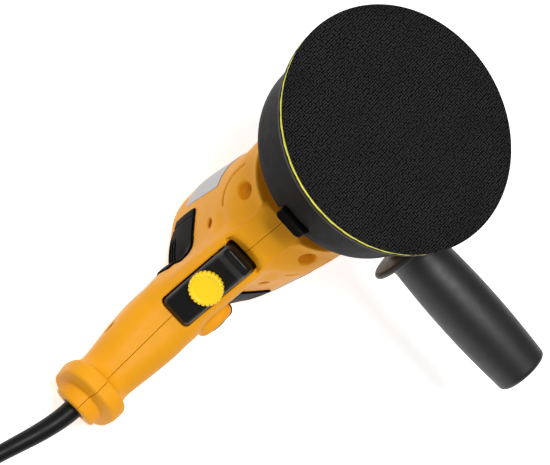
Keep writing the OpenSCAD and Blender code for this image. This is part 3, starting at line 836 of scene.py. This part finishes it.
def make_foam():
    """The foam cushion, its cut edge slightly ragged."""
    def ragged(a, r, h):
        return 0.12 * math.sin(a * 37 + h) + 0.08 * math.sin(a * 91) if r > 60 else 0

    outline = [(0, 194.6), (PAD_R - 1.3, 194.6), (PAD_R - 0.8, 196.3), (PAD_R - 1.0, 197.95), (0, 197.95)]
    obj = lathe("foam_disc", rounded_profile(outline, 0.8), 256, ragged)
    finish_piece(obj, "foam_layer")


def make_backing_plate():
    """The plate behind the foam with its threaded hub."""
    outline = [
        (7.1, 172), (13, 172), (13.4, 185), (20, 188.2), (60, 188.2), (PAD_R - 5.2, 188.4),
        (PAD_R - 1.3, 191), (PAD_R - 1, 194.4), (7.1, 194.4),
    ]
    obj = lathe("backing_disc", rounded_profile(outline, 1.2), 192)
    finish_piece(obj, "backing_plate")


def make_shroud():
    """The tapered cup round the pad, with the opening for the spindle lock button in its rear."""
    base = NECK_Z

    def opening(x, y, z):
        mouth = both(np.abs(y) - 10.5, between(z, base - 6, base + 13.5), 3.0)
        return both(mouth, between(x, -76, -50), 0.5)

    outline = [
        (37, base + 0.3), (61, base + 0.3), (63.9, base + 1.6), (64.8, base + 9), (67.9, base + 42),
        (67.6, base + 43.9), (65.2, base + 43.9), (64.9, base + 42), (61.6, base + 5), (59.5, base + 2.8),
        (37, base + 2.8),
    ]
    obj = lathe("shroud_cone", rounded_profile(outline, 0.9), 192)
    cutter = surface("cutter", opening, (-78, -13, base - 8), (-48, 13, base + 16), 0.8)
    apply_modifier(obj, "BOOLEAN", operation="DIFFERENCE", object=cutter, solver="EXACT")
    bpy.data.objects.remove(cutter)
    finish_piece(obj, "shroud")
    shade_by_angle(obj)


def shade_by_angle(obj, degrees=35):
    """Smooth shading with the sharp edges left crisp."""
    mesh = bmesh.new()
    mesh.from_mesh(obj.data)
    for face in mesh.faces:
        face.smooth = True
    for edge in mesh.edges:
        edge.smooth = edge.calc_face_angle(0) < math.radians(degrees)
    mesh.to_mesh(obj.data)
    mesh.free()


BUTTON_HALF_W = 9.9
BUTTON_PIN_R = 2.45


def make_lock_button():
    """The spindle lock button: round shoulders, a finger dish and a bore for its pin."""
    def field(x, y, z):
        block = both(np.abs(y) - BUTTON_HALF_W, between(z, NECK_Z + 0.6, NECK_Z + 12.8), 3.6)
        block = both(block, between(x, -68, -56.5), 1.6)
        dish = 16 - np.hypot(x + 83.2, z - LOCK_Z)
        bore = both(np.hypot(y, z - LOCK_Z) - BUTTON_PIN_R, -64 - x, 0.2)
        return np.maximum(smooth_max(block, dish, 1), -bore)

    low, high = (-72.5, -12, NECK_Z - 1), (-54, 12, NECK_Z + 15)
    obj = surface("lock_button_cap", field, low, high, 0.6)
    finish_piece(obj, "spindle_lock_button")


# ---------------------------------------------------------------- trigger, dial and lock-on button


def outline_field(u, v, points):
    """Signed distance to a closed outline, negative inside."""
    distance = None
    crossings = 0
    for (ax, ay), (bx, by) in zip(points, points[1:] + points[:1]):
        ex, ey = bx - ax, by - ay
        t = np.clip(((u - ax) * ex + (v - ay) * ey) / (ex * ex + ey * ey), 0, 1)
        d = np.hypot(u - ax - t * ex, v - ay - t * ey)
        distance = d if distance is None else np.minimum(distance, d)
        straddles = (ay > v) != (by > v)
        at = ax + (v - ay) * ex / (ey if ey else 1e-9)
        crossings = crossings + (straddles & (u < at))
    return np.where(crossings % 2 == 1, -distance, distance)


DIAL_RIDGES = 24
DIAL_RIDGES_FROM = 9.3  # radius in mm


def make_trigger():
    """The paddle with its stem and the bore that the dial turns in."""
    half = TRIGGER_L / 2
    profile = [
        (-half, -4), (half, -4), (half, 3), (half - 2, 6), (half - 6, 6.6), (half - 11, 5),
        (9, 4.3), (-9, 4.3), (-14, 4.9), (3 - half, 4.9), (-half, 2.5),
    ]

    def field(x, y, z):
        body = outline_field(x, z, profile) + 0.6
        body = both(body, np.abs(y) - 10.2, 3.2) - 0.6
        stem = both(np.maximum(np.abs(x + 12) - 5, np.abs(y) - 4), between(z, -16, -3), 0.3)
        body = np.minimum(body, stem)
        return np.maximum(body, -np.maximum(np.hypot(x, y) - 3.1, between(z, -1, 11)))

    obj = surface("trigger_lever", field, (-31, -13, -18), (31, 13, 9), 0.6)
    obj.data.transform(AT_THROAT)
    finish_piece(obj, "trigger")


def make_dial():
    """The speed dial with its knurled rim."""
    def scallop(a, r, h):
        return -0.85 * max(0.0, math.cos(DIAL_RIDGES * a)) ** 2 if r > DIAL_RIDGES_FROM else 0

    outline = [
        (0, 0), (3, 0), (3, 5), (10.7, 5), (10.7, 9.2), (9.6, 10), (8.4, 9.9), (7.2, 9.3), (0, 9.1),
    ]
    points = rounded_profile(outline, 0.5, 3)
    obj = lathe("dial_wheel", points, 240, scallop, AT_THROAT)
    finish_piece(obj, "speed_dial")
    shade_by_angle(obj, 50)


def make_lock_on_button():
    """The lock-on button in its boss."""
    outline = [(0, 17.5), (6.5, 17.5), (6.5, 26.6), (5.6, 27.2), (4.4, 27), (0, 26.5)]
    obj = lathe("lock_on_cap", rounded_profile(outline, 0.5), 64)
    obj.data.transform(along((0, -1, 0), (LOCK_ON[0], 0, LOCK_ON[1])))
    finish_piece(obj, "lock_on_button")


# ---------------------------------------------------------------- side handle

HANDLE_R = 19.4
HANDLE_L = 116.0
HANDLE_BORE_R = 4.05


def make_side_handle():
    """The barrel-shaped side handle with its flange, and a plug that closes its bore."""
    end = HANDLE_L
    belly = [(HANDLE_R - 1.8 * ((i - 4) / 4) ** 2, 17 + (end - 23) * i / 8) for i in range(9)]
    outline = [
        (HANDLE_BORE_R, 0, 0.2), (13.5, 0, 0.8), (14.5, 7, 1.5), (26.5, 7.9, 1), (28, 9.4, 1), (28, 11, 1),
        (26.8, 12, 0.8), (18.5, 12.8, 1.2), *belly, (17.4, end - 2.4, 1.2), (15.6, end - 0.6, 1.2),
        (9.5, end - 0.2), (4.4, end - 0.1, 0.3), (HANDLE_BORE_R, 40, 0.2),
    ]
    obj = lathe("handle_grip", rounded_profile(outline, 3, 3), 128, place=AT_HANDLE)
    core = [(0, 40), (4.06, 40), (4.06, end - 0.3), (0, end - 0.25)]
    obj = join("handle_grip", [obj, lathe("handle_end", core, 64, place=AT_HANDLE)])
    finish_piece(obj, "side_handle_grip")
    shade_by_angle(obj, 40)


# ---------------------------------------------------------------- vents, plates and screws

COVER_PROUD = 1.3
COVER_SUNK = 0.95
COVER_GROOVE_X = -57.5
LABEL_X = (-47.5, -14.5)
LABEL_Z = (26.5, 77.5)
LABEL_PROUD = 0.4
LABEL_SUNK = 0.3
SCREW_HEAD_R = 3.6
SCREW_HEAD_H = 2.4
SCREW_SHANK_R = 1.7


def make_vent_covers():
    """The slotted black covers let into the casing, with an upright groove near the front."""
    step = 0.7

    def field(x, y, z):
        core = housing_outside(x, y, z)
        shell = both(both(core - COVER_PROUD, -core - COVER_SUNK, 0.5), convex(x, z, VENT_ZONE), 0.9)
        shell = np.maximum(shell, 2 - np.abs(y))
        shell = np.maximum(shell, -slots_field(x, y, z))
        groove = np.hypot(core - 1.5, x - COVER_GROOVE_X) - 0.6
        return np.maximum(shell, -groove)

    whole = surface("vents", field, (-98, -46, 5), (-49, 46, 50), step)
    for side, node in ((1, "vent_cover_right"), (-1, "vent_cover_left")):
        finish_piece(keep_side(whole, side, 0.3, node + "_grille"), node)
    bpy.data.objects.remove(whole)


def make_label_plates():
    """The blank silver plates, bent round the sides of the head."""
    def field(x, y, z):
        core = head_field(x, y, z)
        zone = both(between(x, *LABEL_X), between(z, *LABEL_Z), 3)
        return both(both(core - LABEL_PROUD, -core - LABEL_SUNK, 0.12), zone, 0.15)

    step = 0.45
    for side, node in ((1, "label_plate_right"), (-1, "label_plate_left")):
        y_range = (26, 43) if side > 0 else (-43, -26)
        obj = surface(node + "_sheet", field, (-50, y_range[0], 24), (-12, y_range[1], 80), step)
        finish_piece(obj, node)


def make_housing_screws():
    """Pan-head screws with a six-lobed drive, one through each pair of columns."""
    def head(x, y, z):
        disc = both(np.hypot(x, y) - SCREW_HEAD_R, between(z, 0, SCREW_HEAD_H), 0.7)
        turn = np.arctan2(y, x)
        star = np.hypot(x, y) - 1.55 - 0.3 * np.cos(6 * turn)
        return np.maximum(disc, -both(star, 1.1 - z, 0.15))

    parts = []
    for px, pz, depth in SCREWS:
        top = surface("head", head, (-4.2, -4.2, -0.6), (4.2, 4.2, 3.2), 0.34, 2)
        top.data.transform(along((0, 1, 0), (px, depth + 0.02, pz)))
        length = 2 * depth - 7
        outline = [(0, 0), (SCREW_SHANK_R, 0), (SCREW_SHANK_R, length), (0, length)]
        spot = along((0, 1, 0), (px, 8 - depth, pz))
        shank = lathe("shank", rounded_profile(outline, 0.3), 32, place=spot)
        parts += [top, shank]
    finish_piece(join("housing_screw_set", parts), "housing_screws")


# ---------------------------------------------------------------- cord, sleeve and plug

CORD_D = 0.0075
SLEEVE_ROOT = (-197, 0, 24.5)
SLEEVE_L = 56.0
SLEEVE_R = 6.4
SLEEVE_TAPER = 1.6
SLEEVE_STEPS = 24
SLEEVE_YAW = math.radians(14)
SLEEVE_DROP = math.radians(8)
COIL_AT = (-318.0, 75.0)
COIL_RADII = (48.75, 41.25)
COIL_LEVELS = (3.95, 11.45, 18.95, 26.45)
COIL_START = -77.0
COIL_ORDER = [(0, 0), (1, 0), (1, 1), (0, 1), (0, 2), (1, 2), (1, 3), (0, 3)]  # ring and level
FREE_POINTS = 16
TURN_POINTS = 24
LAST_POINTS = 18
LAST_ARC = 260
PLUG_BACK = Vector((-273, 94, 43.9))
SLEEVE_OUT = Vector((
    -math.cos(SLEEVE_YAW) * math.cos(SLEEVE_DROP),
    math.sin(SLEEVE_YAW) * math.cos(SLEEVE_DROP),
    -math.sin(SLEEVE_DROP),
))


def bezier(control, t):
    """A point on the cubic curve through four control points."""
    weights = ((1 - t) ** 3, 3 * t * (1 - t) ** 2, 3 * t * t * (1 - t), t**3)
    return sum((c * w for c, w in zip(control, weights)), Vector())


def swept(name, stops, radii, sides=48):
    """A round solid swept along points in mm, with a radius at each and flat ends."""
    vertices = []
    faces = []
    side = Vector((0, 0, 1))
    for k, (stop, radius) in enumerate(zip(stops, radii)):
        ahead = stops[min(k + 1, len(stops) - 1)]
        behind = stops[max(k - 1, 0)]
        heading = (ahead - behind).normalized()
        right = heading.cross(side).normalized()
        up = right.cross(heading)
        for n in range(sides):
            a = 2 * math.pi * n / sides
            vertices.append(stop + (right * math.cos(a) + up * math.sin(a)) * radius)
        if k:
            low = (k - 1) * sides
            for n in range(sides):
                m = (n + 1) % sides
                faces.append((low + n, low + m, low + sides + m, low + sides + n))
    faces.append(tuple(range(sides)))
    faces.append(tuple(len(vertices) - sides + n for n in range(sides)))
    obj = mesh_object(name, [tuple(v) for v in vertices], faces)
    fix_normals(obj)
    return obj


def make_strain_relief():
    """The gland inside the collar and the tapered sleeve outside it, bending towards the floor."""
    axis = Vector((-math.cos(EXIT_TILT), 0, -math.sin(EXIT_TILT)))
    root = Vector((COLLAR_BACK, 0, EXIT_Z)) + axis * 5
    tip = Vector(SLEEVE_ROOT) + SLEEVE_OUT * SLEEVE_L
    control = [root, root + axis * 20, tip - SLEEVE_OUT * 20, tip]
    stops = []
    radii = []
    for k in range(SLEEVE_STEPS + 1):
        t = k / SLEEVE_STEPS
        stops.append(bezier(control, t))
        radii.append(SLEEVE_R - SLEEVE_TAPER * t)
    stops.append(tip + SLEEVE_OUT * 0.5)
    radii.append(4.1)
    sleeve = swept("sleeve", stops, radii)
    gland = [
        (0, -15), (10.5, -15), (10.5, -12.2), (7.4, -12.2), (7.4, 6.6), (6.6, 7.4), (0, 7.4),
    ]
    boot = lathe("boot", rounded_profile(gland, 0.7), 64, place=along(axis, (COLLAR_BACK, 0, EXIT_Z)))
    obj = finish_piece(join("cord_sleeve", [sleeve, boot]), "strain_relief")
    shade_by_angle(obj, 40)


def coil_stop(angle, radius, height):
    """A point of the coil, from an angle in degrees about its centre."""
    a = math.radians(angle)
    return Vector((COIL_AT[0] + radius * math.cos(a), COIL_AT[1] + radius * math.sin(a), height))


def cord_line():
    """Points of the cord in mm: sleeve, floor, seven turns and a bit, then up into the plug."""
    points = free_cord()
    rings = [(COIL_RADII[ring], COIL_LEVELS[level]) for ring, level in COIL_ORDER]
    for here, then in zip(rings, rings[1:]):
        for k in range(TURN_POINTS):
            blend = float(smoothstep((k / TURN_POINTS - 0.8) / 0.2))
            radius = here[0] + (then[0] - here[0]) * blend
            height = here[1] + (then[1] - here[1]) * blend
            points.append(coil_stop(COIL_START - 360 * k / TURN_POINTS, radius, height))
    for k in range(LAST_POINTS):
        climb = float(smoothstep((k / LAST_POINTS - 0.7) / 0.3))
        height = COIL_LEVELS[-1] + (PLUG_BACK.z - COIL_LEVELS[-1]) * climb
        points.append(coil_stop(COIL_START - LAST_ARC * k / LAST_POINTS, COIL_RADII[0], height))
    points.append(PLUG_BACK + Vector((0, -4, 0)))
    return points


def cord_length(points):
    """The length of the line through the points."""
    return sum((b - a).length for a, b in zip(points, points[1:]))


def free_cord():
    """Points from inside the sleeve's tip down to the floor and to the coil's first turn."""
    tip = Vector(SLEEVE_ROOT) + SLEEVE_OUT * SLEEVE_L
    start = tip - SLEEVE_OUT * 5.5
    end = coil_stop(COIL_START, COIL_RADII[0], COIL_LEVELS[0])
    turn = math.radians(COIL_START)
    heading = Vector((math.sin(turn), -math.cos(turn), 0))
    control = [start, start + SLEEVE_OUT * 26, end - heading * 26, end]
    return [bezier(control, k / FREE_POINTS) for k in range(FREE_POINTS)]


def make_cord():
    """The cord as a round curve through its points, and its length in metres."""
    points = cord_line()
    curve = bpy.data.curves.new("mains_cord", "CURVE")
    curve.dimensions = "3D"
    curve.bevel_depth = CORD_D / 2
    curve.bevel_resolution = 5
    curve.resolution_u = 3
    spline = curve.splines.new("BEZIER")
    spline.bezier_points.add(len(points) - 1)
    for stop, point in zip(spline.bezier_points, points):
        stop.co = point * MM
        stop.handle_left_type = "AUTO"
        stop.handle_right_type = "AUTO"
    cord = bpy.data.objects.new("mains_cord", curve)
    bpy.context.scene.collection.objects.link(cord)
    curve.materials.append(MATERIALS["cord_rubber"])
    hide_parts("power_cord", "cord_coil")
    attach(cord, "machine")
    return cord, cord_length(points) * MM


def make_tie():
    """A strap round the coil on the side away from the plug."""
    x_mid = COIL_AT[0] - sum(COIL_RADII) / 2

    def field(x, y, z):
        u = np.abs(x - x_mid)
        outer = both(u - 8.9, between(z, 0.05, 31.3), 3.4)
        inner = both(u - 7.6, between(z, 1.0, 30.0), 2.6)
        return both(np.maximum(outer, -inner), np.abs(y - COIL_AT[1]) - 6, 0.4)

    low = (x_mid - 11, COIL_AT[1] - 8, -2)
    high = (x_mid + 11, COIL_AT[1] + 8, 34)
    tie = surface("coil_tie", field, low, high, 0.6)
    tie.data.materials.append(MATERIALS["black_plastic"])
    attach(tie, "machine")
    return tie


def make_plug():
    """The moulded plug lying on the coil."""
    outline = [
        (0, 0), (5.2, 0), (5.8, 7), (9.6, 9.5), (11.9, 14.5), (10.9, 22), (13.3, 31), (13.3, 38, 0.8),
        (0, 38),
    ]
    spot = along((0, -1, 0), PLUG_BACK)
    body = lathe("plug_shell", rounded_profile(outline, 2.5), 96, place=spot)
    finish_piece(body, "plug_body")
    shade_by_angle(body, 40)
    return body


# ---------------------------------------------------------------- everything else


def finish_hidden_parts():
    """Gives the CAD parts that stay as they are their procedural materials."""
    for node, obj in frame["nodes"].items():
        if obj.hide_render:
            continue
        obj.data.materials.clear()
        obj.data.materials.append(MATERIALS[NODE_SLOT[node]])


FLOOR_HALF = 4000
FLOOR_GLOW = 0.65
WORLD_STRENGTH = 0.30
AIM = (-0.05, 0, 0.1)  # where the lights point, in metres


def make_floor():
    """A pale floor that glows a little, so that it comes out as white as the photograph's ground."""
    material, nodes, links, bsdf = new_material("pale_floor")
    where = nodes.new("ShaderNodeTexCoord").outputs["Object"]
    cloud = noise(nodes, links, where, 3, 3)
    links.new(ramp(nodes, links, cloud, grey(0.80), grey(0.82)), bsdf.inputs["Base Color"])
    bsdf.inputs["Emission Color"].default_value = (1, 1, 1, 1)
    bsdf.inputs["Emission Strength"].default_value = FLOOR_GLOW
    links.new(ramp(nodes, links, cloud, grey(0.75), grey(0.85)), bsdf.inputs["Roughness"])
    bump(nodes, links, bsdf, [(noise(nodes, links, where, 900, 2), 0.05, 0.0002)])
    bsdf.inputs["Specular IOR Level"].default_value = 0.15
    half = FLOOR_HALF
    corners = [(-half, -half, 0), (half, -half, 0), (half, half, 0), (-half, half, 0)]
    floor = mesh_object("floor", corners, [(0, 1, 2, 3)])
    floor.data.materials.append(material)


def area_light(name, spot, target, size, power):
    """A white rectangular light aimed at a point, in metres and watts."""
    data = bpy.data.lights.new(name, "AREA")
    data.shape = "RECTANGLE"
    data.size = size[0]
    data.size_y = size[1]
    data.energy = power
    light = bpy.data.objects.new(name, data)
    bpy.context.scene.collection.objects.link(light)
    light.location = spot
    light.rotation_euler = (Vector(target) - Vector(spot)).to_track_quat("-Z", "Y").to_euler()


def make_lights():
    """Soft white surroundings, a key light above the grip and a weak light from the far side."""
    world = bpy.data.worlds.new("studio")
    bpy.context.scene.world = world
    world.use_nodes = True
    background = world.node_tree.nodes["Background"]
    background.inputs["Color"].default_value = (1, 1, 1, 1)
    background.inputs["Strength"].default_value = WORLD_STRENGTH
    area_light("key", (-0.25, 0.05, 1.75), AIM, (0.5, 0.5), 26)
    area_light("rim", (0.9, 0.9, 1.0), AIM, (0.5, 0.9), 4)
    bpy.context.scene.view_settings.view_transform = "Standard"


# ---------------------------------------------------------------- the scene

make_camera()
cord, cord_total = make_cord()
plug = make_plug()
tie = make_tie()
make_strain_relief()
make_housing()
make_hook_pad()
make_foam()
make_backing_plate()
make_shroud()
make_lock_button()
make_trigger()
make_dial()
make_lock_on_button()
make_side_handle()
make_vent_covers()
make_label_plates()
make_housing_screws()
finish_hidden_parts()
make_floor()
make_lights()
